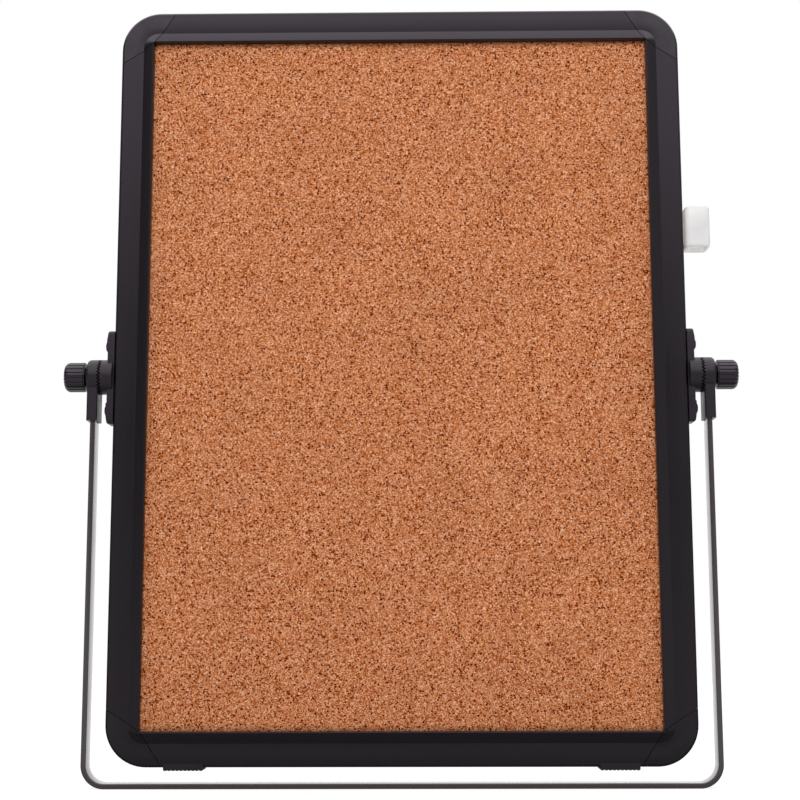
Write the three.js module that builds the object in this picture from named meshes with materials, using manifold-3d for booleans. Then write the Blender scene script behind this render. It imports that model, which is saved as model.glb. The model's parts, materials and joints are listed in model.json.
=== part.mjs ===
// Cork bulletin board with a white writing sheet on its back, held between the arms of a flat U-shaped stand.
// Millimetres, +X to the right, the cork faces -Y, +Z up. The origin is under the middle of the stand's bar.

import * as THREE from 'three';
import { mergeVertices } from 'three/addons/utils/BufferGeometryUtils.js';
import Module from 'manifold-3d';

const wasm = await Module();
wasm.setup();

// Board
const boardWidth = 300;
const boardHeight = 400;
const boardDepth = 13;
const boardCorner = 21;

// Frame section: u runs inwards from the outer edge, depth runs back from the flat outer band's front.
// Inside that band the face slopes forward to a ridge beside the cork, and a leg runs back to the cork.
const faceWidth = 17.8;
const flatWidth = 11.8;
const lipRise = 2.7;
const lipNose = 0.6;
const lipLeg = 1.4;
const edgeRound = 2;
const railWall = 1.2;
const grooveFloor = 9.1;

// Corner caps
const capReach = 29;
const capInnerArc = 8;
const capCornerRound = 0.3;
const seamGap = 0.3;
const tongueLength = 14;
const tongueTaper = 2;
const tongueSlip = 0.3;

// Panel sandwich inside the groove
const corkThickness = 2.2;
const sheetThickness = 0.4;
const panelSlack = 0.5;
const glueLine = 0.1;

// Stand
const stripThickness = 2.7;
const stripDepth = 10;
const stripBend = 12;
const stripEdge = 0.4;
const barDrop = 10.8;
const pivotRise = 200.5;

// Pivot bracket, measured outwards from the side of the frame. Its plate's middle lies below the pivot.
const seatGap = 0.2;
const bracketLength = 49.5;
const bracketDrop = 0.75;
const bracketDepth = 11.6;
const bracketCorner = 2;
const plateThickness = 3.7;
const plateEndThickness = 3.6;
const plateEndChamfer = 1.2;
const padHeight = 4.2;
const padNear = 13.9;
const padFar = 19.6;
const padStep = 0.4;

// Toothed hubs
const hubRadius = 9.2;
const hubBase = 0.8;
const hubBaseRound = 0.5;
const hubFace = 6.5;
const toothHeight = 1.1;
const toothGap = 0.25;
const toothInner = 5.2;
const toothCount = 32;
const armHubOuter = 14.5;
const armHubRound = 1.8;
const hubBore = 2.8;

// Arm socket sleeve
const sleeveInner = 8.4;
const sleeveInnerWall = 1.1;
const sleeveOuterWall = 1.8;
const sleeveDepth = 13.8;
const sleeveDrop = 23.6;
const sleeveRound = 1;
const sleeveRootShare = 0.25;
const pocketTop = 8;
const pocketSlip = 0.15;

// Clamping knob, its stud, nut and washer
const studRadius = 2.5;
const studInside = 3.5;
const studChamfer = 0.5;
const studSlip = 0.1;
const railStudHole = 3.1;
const nutAcrossFlats = 8;
const nutThickness = 3.8;
const nutSlip = 0.15;
const washerRadius = 5;
const washerThickness = 1;
const washerGap = 0.1;
const knobRadius = 7.8;
const knobLength = 11.05;
const knobEndRound = 3;
const knobCollar = 7;
const knobCollarStep = 0.5;
const knobBoreDepth = 8;
const knobGroove = 0.5;
const knobRidges = 20;
const segmentsPerRidge = 6;

// Bracket screws, each way from the middle of the bracket's plate
const screwOffset = 17.05;
const screwHeadRadius = 2.75;
const screwHeadHeight = 1.3;
const screwHeadRim = 0.5;
const screwShank = 1.35;
const screwTip = 4.4;
const screwPoint = 1.4;
const screwHoleSlip = 0.1;
const crossSlot = 0.8;
const crossDepth = 0.7;
const crossReach = 1.7;

// Rubber feet
const footLength = 20;
const footFromSide = 40;
const footDrop = 1.6;
const footLap = 2;
const footWall = 0.3;
const footGap = 0.1;
const footRibPitch = 2;
const footRibDepth = 0.35;

// Pen loop
const loopWidth = 13.3;
const loopDepth = 15.4;
const loopCorner = 3.2;
const loopWall = 1.6;
const loopHeight = 22;
const loopRise = 78.4;
const loopRound = 1.4;
const tapeThickness = 0.5;
const tapeWidth = 7.4;
const tapeMargin = 1.6;

// Shared by every boolean cut, and the fineness of round shapes
const overrun = 1;
const roundSegments = 48;
const smallRoundSegments = 24;
const arcSteps = 10;
const edgeSteps = 4;
const bevelSteps = 2;
const hexagonSides = 6;

// Worked out from the sizes above
const halfDepth = boardDepth / 2;
const boardBottom = barDrop;
const pivotHeight = boardBottom + pivotRise;
const hollowEnd = grooveFloor - railWall;
const grooveWidth = boardDepth - 2 * railWall;
const ridge = halfDepth + lipRise;
const bracketTips = hubFace + toothHeight;
const armTips = bracketTips + toothGap;
const armRoots = armTips + toothHeight;
const washerStart = armHubOuter + washerGap;
const knobStart = washerStart + washerThickness + washerGap;
const stripInner = sleeveInner + sleeveInnerWall;
const stripOuter = stripInner + stripThickness;
const sleeveOuter = stripOuter + sleeveOuterWall;
const standHalfWidth = boardWidth / 2 + stripOuter;
const screwRises = { upper: screwOffset - bracketDrop, lower: -screwOffset - bracketDrop };

const finishes = {
  cork: { color: 0xc07d52, roughness: 0.95, metalness: 0 },
  core: { color: 0xb89a72, roughness: 0.9, metalness: 0 },
  sheet: { color: 0xf2f2f0, roughness: 0.25, metalness: 0 },
  rail: { color: 0x302c31, roughness: 0.45, metalness: 0.3 },
  cap: { color: 0x242226, roughness: 0.45, metalness: 0 },
  bracket: { color: 0x29262b, roughness: 0.55, metalness: 0 },
  knob: { color: 0x232125, roughness: 0.5, metalness: 0 },
  strip: { color: 0x383436, roughness: 0.4, metalness: 0.5 },
  steel: { color: 0xa8a9ac, roughness: 0.35, metalness: 1 },
  blackSteel: { color: 0x1d1c1e, roughness: 0.4, metalness: 0.8 },
  rubber: { color: 0x1c1b1c, roughness: 0.85, metalness: 0 },
  loop: { color: 0xebe4e6, roughness: 0.35, metalness: 0 },
  tape: { color: 0xdedad2, roughness: 0.8, metalness: 0 },
};

// Solids for cutting and joining

function toSolid(geometry) {
  const bare = geometry.clone();
  bare.deleteAttribute('normal');
  bare.deleteAttribute('uv');
  const merged = mergeVertices(bare);
  const index = merged.index.array;
  const triangles = [];
  for (let i = 0; i < index.length; i += 3) {
    const [a, b, c] = [index[i], index[i + 1], index[i + 2]];
    if (a !== b && b !== c && c !== a) triangles.push(a, b, c);
  }
  const mesh = new wasm.Mesh({
    numProp: 3,
    vertProperties: merged.attributes.position.array,
    triVerts: new Uint32Array(triangles),
  });
  return new wasm.Manifold(mesh);
}

function toGeometry(solid) {
  const mesh = solid.getMesh();
  const geometry = new THREE.BufferGeometry();
  geometry.setAttribute('position', new THREE.BufferAttribute(mesh.vertProperties, mesh.numProp));
  geometry.setIndex(new THREE.BufferAttribute(mesh.triVerts, 1));
  geometry.computeVertexNormals();
  return geometry;
}

function triangleMesh(points, triangles) {
  const geometry = new THREE.BufferGeometry().setFromPoints(points);
  geometry.setIndex(triangles);
  const [a, b, c] = [new THREE.Vector3(), new THREE.Vector3(), new THREE.Vector3()];
  let volume = 0;
  for (let i = 0; i < triangles.length; i += 3) {
    a.copy(points[triangles[i]]);
    b.copy(points[triangles[i + 1]]);
    c.copy(points[triangles[i + 2]]);
    volume += a.dot(b.cross(c));
  }
  if (volume < 0) geometry.setIndex(triangles.slice().reverse());
  geometry.computeVertexNormals();
  return geometry;
}

// Skin over rings of equal point counts, with a flat fan at each end
function loft(rings) {
  const count = rings[0].length;
  const triangles = [];
  for (let ring = 0; ring + 1 < rings.length; ring++) {
    for (let k = 0; k < count; k++) {
      const [a, b] = [ring * count + k, ring * count + ((k + 1) % count)];
      triangles.push(a, b, b + count, a, b + count, a + count);
    }
  }
  const last = (rings.length - 1) * count;
  for (let k = 1; k + 1 < count; k++) {
    triangles.push(0, k + 1, k);
    triangles.push(last, last + k, last + k + 1);
  }
  return triangleMesh(rings.flat(), triangles);
}

// Solid of revolution about X: the profile [x, r] closes on itself, and warp may move a point by its turn
function revolveAboutX(profile, segments, warp = (point) => point) {
  const points = [];
  const triangles = [];
  for (let turn = 0; turn < segments; turn++) {
    const angle = (turn / segments) * Math.PI * 2;
    for (const corner of profile) {
      const [x, r] = warp(corner, turn);
      points.push(new THREE.Vector3(x, r * Math.cos(angle), r * Math.sin(angle)));
    }
  }
  const rows = profile.length;
  for (let turn = 0; turn < segments; turn++) {
    const next = (turn + 1) % segments;
    for (let row = 0; row < rows; row++) {
      const below = (row + 1) % rows;
      const [a, b] = [turn * rows + row, turn * rows + below];
      const [c, d] = [next * rows + row, next * rows + below];
      triangles.push(a, b, d, a, d, c);
    }
  }
  return triangleMesh(points, triangles);
}

function cylinderAlongX(radius, start, end, segments = smallRoundSegments) {
  const geometry = new THREE.CylinderGeometry(radius, radius, end - start, segments);
  return geometry.rotateZ(-Math.PI / 2).translate((start + end) / 2, 0, 0);
}

function block(low, high) {
  const geometry = new THREE.BoxGeometry(high[0] - low[0], high[1] - low[1], high[2] - low[2]);
  return geometry.translate((low[0] + high[0]) / 2, (low[1] + high[1]) / 2, (low[2] + high[2]) / 2);
}

// Outline in (x, z), made solid from back to front between +halfThickness and -halfThickness in y
function plateInXZ(shape, halfThickness, bevel = 0) {
  const settings = {
    depth: 2 * (halfThickness - bevel),
    curveSegments: arcSteps,
    bevelEnabled: bevel > 0,
    bevelSize: bevel,
    bevelThickness: bevel,
    bevelOffset: -bevel,
    bevelSegments: bevelSteps,
  };
  const geometry = new THREE.ExtrudeGeometry(shape, settings);
  return geometry.translate(0, 0, bevel - halfThickness).rotateX(Math.PI / 2);
}

// Outline in (y, z), made solid along x between start and end
function plateInYZ(shape, start, end) {
  const settings = { depth: end - start, bevelEnabled: false, curveSegments: arcSteps };
  const geometry = new THREE.ExtrudeGeometry(shape, settings);
  const turn = new THREE.Matrix4().makeBasis(
    new THREE.Vector3(0, 1, 0),
    new THREE.Vector3(0, 0, 1),
    new THREE.Vector3(1, 0, 0),
  );
  return geometry.translate(0, 0, start).applyMatrix4(turn);
}

function roundedRectangle(halfX, halfY, radius) {
  const shape = new THREE.Shape();
  shape.moveTo(halfX - radius, -halfY);
  shape.absarc(halfX - radius, radius - halfY, radius, -Math.PI / 2, 0);
  shape.absarc(halfX - radius, halfY - radius, radius, 0, Math.PI / 2);
  shape.absarc(radius - halfX, halfY - radius, radius, Math.PI / 2, Math.PI);
  shape.absarc(radius - halfX, radius - halfY, radius, Math.PI, Math.PI * 1.5);
  shape.closePath();
  return shape;
}

function polygon(corners) {
  return new THREE.Shape(corners.map(([x, y]) => new THREE.Vector2(x, y)));
}

function named(name, geometry, finish) {
  const mesh = new THREE.Mesh(geometry, new THREE.MeshStandardMaterial(finishes[finish]));
  mesh.name = name;
  return mesh;
}

// Frame rails: a closed hollow on the outside for the caps' tongues, and an open groove for the panel

function railSection() {
  const front = [];
  for (let k = 0; k <= edgeSteps; k++) {
    const angle = (k / edgeSteps) * (Math.PI / 2);
    front.push([edgeRound * (1 - Math.cos(angle)), edgeRound * (1 - Math.sin(angle))]);
  }
  front.push([flatWidth, 0]);
  front.push([faceWidth - lipNose, -lipRise]);
  front.push([faceWidth, lipNose - lipRise]);
  front.push([faceWidth, railWall]);
  front.push([faceWidth - lipLeg, railWall]);
  front.push([faceWidth - lipLeg, railWall + lipNose - lipRise]);
  front.push([flatWidth, railWall]);
  front.push([grooveFloor, railWall]);
  const back = front.map(([u, depth]) => [u, boardDepth - depth]).reverse();
  const section = polygon([...front, ...back].map(([u, depth]) => [u, depth - halfDepth]));
  const reach = halfDepth - railWall;
  const hollow = [[railWall, -reach], [railWall, reach], [hollowEnd, reach], [hollowEnd, -reach]];
  section.holes.push(polygon(hollow));
  return section;
}

// A rail along local Z, with its ends sheared along the caps' splayed seams
function railGeometry(span) {
  const geometry = new THREE.ExtrudeGeometry(railSection(), { depth: span, bevelEnabled: false });
  geometry.translate(0, 0, -span / 2);
  const position = geometry.attributes.position;
  for (let i = 0; i < position.count; i++) {
    const seam = capReach - (capReach - faceWidth) * (position.getX(i) / faceWidth) + seamGap;
    position.setZ(i, Math.sign(position.getZ(i)) * (span / 2 - seam));
  }
  geometry.computeVertexNormals();
  return geometry;
}

// The rail that is turned over for the right side has its holes on the other side of its middle
function sideRailGeometry(upward) {
  let rail = toSolid(railGeometry(boardHeight));
  const holes = [[0, railStudHole]];
  for (const rise of Object.values(screwRises)) holes.push([rise, screwShank + screwHoleSlip]);
  for (const [rise, radius] of holes) {
    const height = upward * (pivotRise - boardHeight / 2 + rise);
    const hole = cylinderAlongX(radius, -overrun, railWall + overrun).translate(0, 0, height);
    rail = rail.subtract(toSolid(hole));
  }
  return toGeometry(rail);
}

// Corner caps

// Rounded corner of a square region that starts u inwards from both outer edges
function cornerRing(y, u, radius) {
  const far = capReach + overrun;
  const ring = [new THREE.Vector3(far, y, far), new THREE.Vector3(far, y, u)];
  for (let k = 0; k <= arcSteps; k++) {
    const angle = -Math.PI / 2 - (k / arcSteps) * (Math.PI / 2);
    const [x, z] = [radius * Math.cos(angle), radius * Math.sin(angle)];
    ring.push(new THREE.Vector3(u + radius + x, y, u + radius + z));
  }
  ring.push(new THREE.Vector3(u, y, far));
  return ring;
}

function capEnvelope() {
  const rings = [];
  for (let k = 0; k <= edgeSteps; k++) {
    const angle = (k / edgeSteps) * (Math.PI / 2);
    const inset = edgeRound * (1 - Math.sin(angle));
    const depth = edgeRound * (1 - Math.cos(angle));
    rings.push(cornerRing(depth - halfDepth, inset, boardCorner - inset));
  }
  const back = rings.map((ring) => ring.map((point) => point.clone().setY(-point.y))).reverse();
  return toSolid(loft([...rings, ...back]));
}

// The raised lip, from the fold in the face up to the ridge
function capLip(side) {
  const rings = [
    cornerRing(side * (halfDepth - railWall), flatWidth, capInnerArc),
    cornerRing(side * halfDepth, flatWidth, capInnerArc),
    cornerRing(side * ridge, faceWidth - lipNose, capCornerRound + lipNose),
  ];
  return toSolid(loft(rings));
}

function capNoseCutter(side) {
  const rings = [
    cornerRing(side * (ridge + overrun), faceWidth - lipNose, capCornerRound + lipNose),
    cornerRing(side * ridge, faceWidth - lipNose, capCornerRound + lipNose),
    cornerRing(side * (ridge - lipNose), faceWidth, capCornerRound),
  ];
  return toSolid(loft(rings));
}

function capTongue() {
  const [near, far] = [railWall + tongueSlip, hollowEnd - tongueSlip];
  const tip = capReach + tongueLength;
  const outline = polygon([
    [boardCorner, near],
    [tip - tongueTaper, near],
    [tip, near + tongueTaper],
    [tip, far - tongueTaper],
    [tip - tongueTaper, far],
    [boardCorner, far],
  ]);
  return toSolid(plateInXZ(outline, halfDepth - railWall - tongueSlip));
}

// The cap of the lower left corner, with the frame's outer corner at the origin
function capGeometry() {
  const outline = polygon([[capReach, 0], [faceWidth, faceWidth], [0, capReach], [0, 0]]);
  const far = capReach + overrun;
  const reach = grooveWidth / 2;
  const raised = capEnvelope().add(capLip(-1)).add(capLip(1));
  let cap = toSolid(plateInXZ(outline, ridge + overrun)).intersect(raised);
  cap = cap.subtract(capNoseCutter(-1)).subtract(capNoseCutter(1));
  cap = cap.subtract(toSolid(block([grooveFloor, -reach, grooveFloor], [far, reach, far])));
  const tongue = capTongue();
  const other = tongue.mirror([1, 0, -1]);
  return toGeometry(cap.add(tongue).add(other));
}

function frame() {
  const group = new THREE.Group();
  const across = new THREE.Vector3(0, 1, 0);
  const place = (name, geometry, inward, x, z) => {
    const rail = named(name, geometry, 'rail');
    const run = new THREE.Vector3().crossVectors(inward, across);
    rail.setRotationFromMatrix(new THREE.Matrix4().makeBasis(inward, across, run));
    rail.position.set(x, 0, z);
    group.add(rail);
  };
  const middle = boardBottom + boardHeight / 2;
  const longRail = railGeometry(boardWidth);
  place('rail_bottom', longRail, new THREE.Vector3(0, 0, 1), 0, boardBottom);
  place('rail_top', longRail, new THREE.Vector3(0, 0, -1), 0, boardBottom + boardHeight);

  const right = named('rail_right', sideRailGeometry(-1), 'rail');
  right.rotation.y = Math.PI;
  right.position.set(boardWidth / 2, 0, middle);
  group.add(right);
  const left = named('rail_left', sideRailGeometry(1), 'rail');
  left.position.set(-boardWidth / 2, 0, middle);
  group.add(left);

  const cap = capGeometry();
  const corners = [
    ['corner_cap_bottom_left', -1, 0, 0],
    ['corner_cap_bottom_right', 1, 0, -Math.PI / 2],
    ['corner_cap_top_right', 1, 1, Math.PI],
    ['corner_cap_top_left', -1, 1, Math.PI / 2],
  ];
  for (const [name, side, top, turn] of corners) {
    const mesh = named(name, cap, 'cap');
    mesh.position.set((side * boardWidth) / 2, 0, boardBottom + top * boardHeight);
    mesh.rotation.y = turn;
    group.add(mesh);
  }
  return group;
}

// Panel: cork in front, a stiff core, and the writing sheet on the back

function panel() {
  const group = new THREE.Group();
  const width = boardWidth - 2 * (grooveFloor + panelSlack);
  const height = boardHeight - 2 * (grooveFloor + panelSlack);
  const coreThickness = grooveWidth - 4 * glueLine - corkThickness - sheetThickness;
  const layers = [
    ['cork_sheet', corkThickness, 'cork'],
    ['core_board', coreThickness, 'core'],
    ['writing_sheet', sheetThickness, 'sheet'],
  ];
  let front = -grooveWidth / 2 + glueLine;
  for (const [name, thickness, finish] of layers) {
    const layer = named(name, new THREE.BoxGeometry(width, thickness, height), finish);
    layer.position.set(0, front + thickness / 2, boardBottom + boardHeight / 2);
    group.add(layer);
    front += thickness + glueLine;
  }
  return group;
}

// Pivot bracket, in the frame of its own side: x outwards from the frame's side, z up from the pivot

// A bored hub from a rounded base to a face with a ring of teeth. Phase 1 has gaps where phase 0 has teeth.
function toothedHub(base, baseRound, face, tips, phase) {
  const outward = Math.sign(face - base);
  const rim = [face, hubRadius];
  const root = [face, toothInner];
  const profile = [[base, hubBore]];
  for (let k = 0; k <= edgeSteps; k++) {
    const angle = (k / edgeSteps) * (Math.PI / 2);
    const [along, out] = [baseRound * (1 - Math.cos(angle)), baseRound * (1 - Math.sin(angle))];
    profile.push([base + outward * along, hubRadius - out]);
  }
  profile.push(rim, root, [face, hubBore]);
  return revolveAboutX(profile, toothCount * 2, (corner, turn) => {
    const raised = (corner === rim || corner === root) && (turn + phase) % 2 === 0;
    return raised ? [tips, corner[1]] : corner;
  });
}

function bracketPlate() {
  const half = bracketLength / 2;
  const upper = [
    [seatGap, half],
    [plateEndThickness - plateEndChamfer, half],
    [plateEndThickness, half - plateEndChamfer],
    [padHeight, padFar],
    [padHeight, padNear],
    [plateThickness, padNear - padStep],
  ];
  const lower = upper.map(([x, z]) => [x, -z]).reverse();
  const side = toSolid(plateInXZ(polygon([...upper, ...lower]), bracketDepth / 2));
  const outline = roundedRectangle(bracketDepth / 2, half, bracketCorner);
  const plate = side.intersect(toSolid(plateInYZ(outline, -overrun, padHeight + overrun)));
  return plate.translate([0, 0, -bracketDrop]);
}

function hexagon(acrossFlats) {
  const radius = acrossFlats / Math.sqrt(3);
  const corners = [];
  for (let k = 0; k < hexagonSides; k++) {
    const angle = ((k + 0.5) / hexagonSides) * Math.PI * 2;
    corners.push([radius * Math.cos(angle), radius * Math.sin(angle)]);
  }
  return polygon(corners);
}

function bracketGeometry() {
  const hub = toothedHub(hubBase, hubBaseRound, hubFace, bracketTips, 0);
  let bracket = bracketPlate().add(toSolid(hub));
  bracket = bracket.subtract(toSolid(cylinderAlongX(hubBore, -overrun, bracketTips + overrun)));
  const pocketEnd = seatGap + nutThickness + 2 * nutSlip;
  const pocket = plateInYZ(hexagon(nutAcrossFlats + 2 * nutSlip), -overrun, pocketEnd);
  bracket = bracket.subtract(toSolid(pocket));
  for (const rise of Object.values(screwRises)) {
    const hole = cylinderAlongX(screwShank + screwHoleSlip, -overrun, padHeight + overrun);
    bracket = bracket.subtract(toSolid(hole.translate(0, 0, rise)));
  }
  return toGeometry(bracket);
}

function nutGeometry() {
  const nut = hexagon(nutAcrossFlats);
  const bore = new THREE.Path();
  bore.absarc(0, 0, studRadius + studSlip, 0, Math.PI * 2, true);
  nut.holes.push(bore);
  const start = seatGap + nutSlip;
  return plateInYZ(nut, start, start + nutThickness);
}

function screwGeometry() {
  const seat = padHeight + screwHoleSlip;
  const top = seat + screwHeadHeight;
  const profile = [
    [0, -screwTip],
    [screwShank, screwPoint - screwTip],
    [screwShank, seat],
    [screwHeadRadius, seat],
    [screwHeadRadius, seat + screwHeadRim],
    [(screwHeadRadius + crossReach) / 2, top - screwHeadRim / 2],
    [crossReach, top],
    [0, top],
  ];
  const outline = profile.map(([r, x]) => new THREE.Vector2(r, x));
  let screw = toSolid(new THREE.LatheGeometry(outline, smallRoundSegments).rotateZ(-Math.PI / 2));
  const [floor, above, half] = [top - crossDepth, top + overrun, crossSlot / 2];
  screw = screw.subtract(toSolid(block([floor, -crossReach, -half], [above, crossReach, half])));
  screw = screw.subtract(toSolid(block([floor, -half, -crossReach], [above, half, crossReach])));
  return toGeometry(screw);
}

// Arm socket: the stand's toothed hub, with a sleeve below it that the strip's end goes up into

function socketGeometry() {
  const hub = toSolid(toothedHub(armHubOuter, armHubRound, armRoots, armTips, 1));
  const outline = roundedRectangle((sleeveOuter - sleeveInner) / 2, sleeveDepth / 2, sleeveRound);
  const height = sleeveDrop - sleeveRootShare * hubRadius;
  const settings = { depth: height, bevelEnabled: false, curveSegments: edgeSteps };
  const sleeveShape = new THREE.ExtrudeGeometry(outline, settings);
  let sleeve = toSolid(sleeveShape.translate((sleeveInner + sleeveOuter) / 2, 0, -sleeveDrop));
  const clear = cylinderAlongX(hubRadius + pocketSlip, sleeveInner - overrun, armRoots, roundSegments);
  sleeve = sleeve.subtract(toSolid(clear));
  const halfStrip = stripDepth / 2 + pocketSlip;
  const pocket = block(
    [stripInner - pocketSlip, -halfStrip, -sleeveDrop - overrun],
    [stripOuter + pocketSlip, halfStrip, -pocketTop],
  );
  const bore = cylinderAlongX(hubBore, sleeveInner - overrun, armHubOuter + overrun);
  return toGeometry(hub.add(sleeve).subtract(toSolid(pocket)).subtract(toSolid(bore)));
}

// Clamping knob with its grooves, and the stud that it turns

function knobGeometry() {
  const end = knobStart + knobLength;
  const outside = [[knobStart + knobCollarStep, knobRadius]];
  for (let k = 0; k <= edgeSteps; k++) {
    const angle = (k / edgeSteps) * (Math.PI / 2);
    const [out, rise] = [knobEndRound * Math.sin(angle), knobEndRound * Math.cos(angle)];
    outside.push([end - knobEndRound + out, knobRadius - knobEndRound + rise]);
  }
  const profile = [
    [knobStart + knobBoreDepth, 0],
    [knobStart + knobBoreDepth, studRadius + studSlip],
    [knobStart, studRadius + studSlip],
    [knobStart, knobCollar],
    [knobStart + knobCollarStep, knobCollar],
    ...outside,
    [end, 0],
  ];
  const grooved = new Set(outside.slice(0, -1));
  const geometry = revolveAboutX(profile, knobRidges * segmentsPerRidge, (corner, turn) => {
    const inGroove = grooved.has(corner) && turn % segmentsPerRidge === 0;
    return inGroove ? [corner[0], corner[1] - knobGroove] : corner;
  });
  return toGeometry(toSolid(geometry));
}

function studGeometry() {
  const end = knobStart + knobBoreDepth - studSlip;
  const profile = [
    [0, -studInside],
    [studRadius - studChamfer, -studInside],
    [studRadius, studChamfer - studInside],
    [studRadius, end],
    [0, end],
  ];
  const outline = profile.map(([r, x]) => new THREE.Vector2(r, x));
  return new THREE.LatheGeometry(outline, smallRoundSegments).rotateZ(-Math.PI / 2);
}

function washerGeometry() {
  const bore = studRadius + studSlip;
  const end = washerStart + washerThickness;
  const profile = [[washerStart, bore], [washerStart, washerRadius], [end, washerRadius], [end, bore]];
  return revolveAboutX(profile, smallRoundSegments);
}

function pivot(side) {
  const group = new THREE.Group();
  group.position.set(side === 'right' ? boardWidth / 2 : -boardWidth / 2, 0, pivotHeight);
  group.rotation.z = side === 'right' ? 0 : Math.PI;
  group.add(named(`pivot_bracket_${side}`, bracketGeometry(), 'bracket'));
  group.add(named(`pivot_nut_${side}`, nutGeometry(), 'steel'));
  for (const [place, rise] of Object.entries(screwRises)) {
    const screw = named(`bracket_screw_${side}_${place}`, screwGeometry(), 'blackSteel');
    screw.position.z = rise;
    group.add(screw);
  }
  group.add(named(`arm_socket_${side}`, socketGeometry(), 'bracket'));
  group.add(named(`washer_${side}`, washerGeometry(), 'blackSteel'));
  group.add(named(`knob_${side}`, knobGeometry(), 'knob'));
  group.add(named(`knob_stud_${side}`, studGeometry(), 'steel'));
  return group;
}

// Stand: one flat strip bent twice into a U

function standStrip() {
  const top = pivotHeight - pocketTop - pocketSlip;
  const inner = standHalfWidth - stripThickness;
  const innerBend = stripBend - stripThickness;
  const shape = new THREE.Shape();
  shape.moveTo(standHalfWidth, top);
  shape.lineTo(inner, top);
  shape.lineTo(inner, stripBend);
  shape.absarc(standHalfWidth - stripBend, stripBend, innerBend, 0, -Math.PI / 2, true);
  shape.lineTo(stripBend - standHalfWidth, stripThickness);
  shape.absarc(stripBend - standHalfWidth, stripBend, innerBend, -Math.PI / 2, -Math.PI, true);
  shape.lineTo(-inner, top);
  shape.lineTo(-standHalfWidth, top);
  shape.lineTo(-standHalfWidth, stripBend);
  shape.absarc(stripBend - standHalfWidth, stripBend, stripBend, Math.PI, Math.PI * 1.5, false);
  shape.lineTo(standHalfWidth - stripBend, 0);
  shape.absarc(standHalfWidth - stripBend, stripBend, stripBend, -Math.PI / 2, 0, false);
  shape.closePath();
  return named('stand_strip', plateInXZ(shape, stripDepth / 2, stripEdge), 'strip');
}

// Rubber feet: each laps the rounded edges of the bottom rail, and has ribs across its underside

function footGeometry() {
  const inner = halfDepth + footGap;
  const outer = inner + footWall;
  const flat = halfDepth - edgeRound;
  const section = new THREE.Shape();
  section.moveTo(-outer, footLap);
  section.lineTo(-outer, -footDrop);
  section.lineTo(outer, -footDrop);
  section.lineTo(outer, footLap);
  section.lineTo(inner, footLap);
  section.absarc(flat, edgeRound, edgeRound + footGap, 0, -Math.PI / 2, true);
  section.absarc(-flat, edgeRound, edgeRound + footGap, -Math.PI / 2, -Math.PI, true);
  section.closePath();
  const body = toSolid(plateInYZ(section, -footLength / 2, footLength / 2));
  const comb = [[footLength / 2, footLap + overrun], [-footLength / 2, footLap + overrun]];
  const ribs = Math.round(footLength / footRibPitch);
  for (let k = 0; k <= ribs * 2; k++) {
    const x = (k / (ribs * 2) - 0.5) * footLength;
    comb.push([x, -footDrop + (k % 2) * footRibDepth]);
  }
  return toGeometry(body.intersect(toSolid(plateInXZ(polygon(comb), outer + overrun))));
}

function feet() {
  const group = new THREE.Group();
  for (const [name, side] of [['foot_left', -1], ['foot_right', 1]]) {
    const foot = named(name, footGeometry(), 'rubber');
    foot.position.set(side * (boardWidth / 2 - footFromSide), 0, boardBottom);
    group.add(foot);
  }
  return group;
}

// Pen loop: an open tube of rounded rectangular plan, held on the frame's side by a pad of tape

function penLoop() {
  const group = new THREE.Group();
  group.position.set(boardWidth / 2, 0, pivotHeight + loopRise);
  const start = seatGap + tapeThickness + glueLine;
  const settings = {
    depth: loopHeight - 2 * loopRound,
    curveSegments: edgeSteps,
    bevelSize: loopRound,
    bevelThickness: loopRound,
    bevelOffset: -loopRound,
    bevelSegments: edgeSteps,
  };
  const plan = roundedRectangle(loopWidth / 2, loopDepth / 2, loopCorner);
  const outside = new THREE.ExtrudeGeometry(plan, settings).translate(0, 0, loopRound);
  const [halfWidth, halfDepthInside] = [loopWidth / 2 - loopWall, loopDepth / 2 - loopWall];
  const bore = roundedRectangle(halfWidth, halfDepthInside, loopCorner - loopWall);
  const straight = { depth: loopHeight + 2 * overrun, bevelEnabled: false, curveSegments: edgeSteps };
  const inside = new THREE.ExtrudeGeometry(bore, straight).translate(0, 0, -overrun);
  const loop = toGeometry(toSolid(outside).subtract(toSolid(inside)));
  group.add(named('pen_loop', loop.translate(start + loopWidth / 2, 0, -loopHeight / 2), 'loop'));
  const end = loopHeight / 2 - tapeMargin;
  const low = [seatGap, -tapeWidth / 2, -end];
  const tape = block(low, [seatGap + tapeThickness, tapeWidth / 2, end]);
  group.add(named('pen_loop_tape', tape, 'tape'));
  return group;
}

const model = new THREE.Group();
model.add(frame());
model.add(panel());
model.add(pivot('left'));
model.add(pivot('right'));
model.add(standStrip());
model.add(feet());
model.add(penLoop());

export default model;
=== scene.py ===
# %% [markdown]
# A desk-size cork board. It has a satin black frame of four extruded rails and four moulded corner caps, and
# it hangs between the arms of a flat U-shaped stand, in two toothed hubs that ribbed knobs clamp.
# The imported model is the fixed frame: every piece made here takes its place and size from it, and
# only adds what the engineering solids leave out, such as crowned faces, soft edges and real finishes.

# %% Load the frame
import json
import math

import bmesh
import bpy
from mathutils import Matrix, Vector


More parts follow.
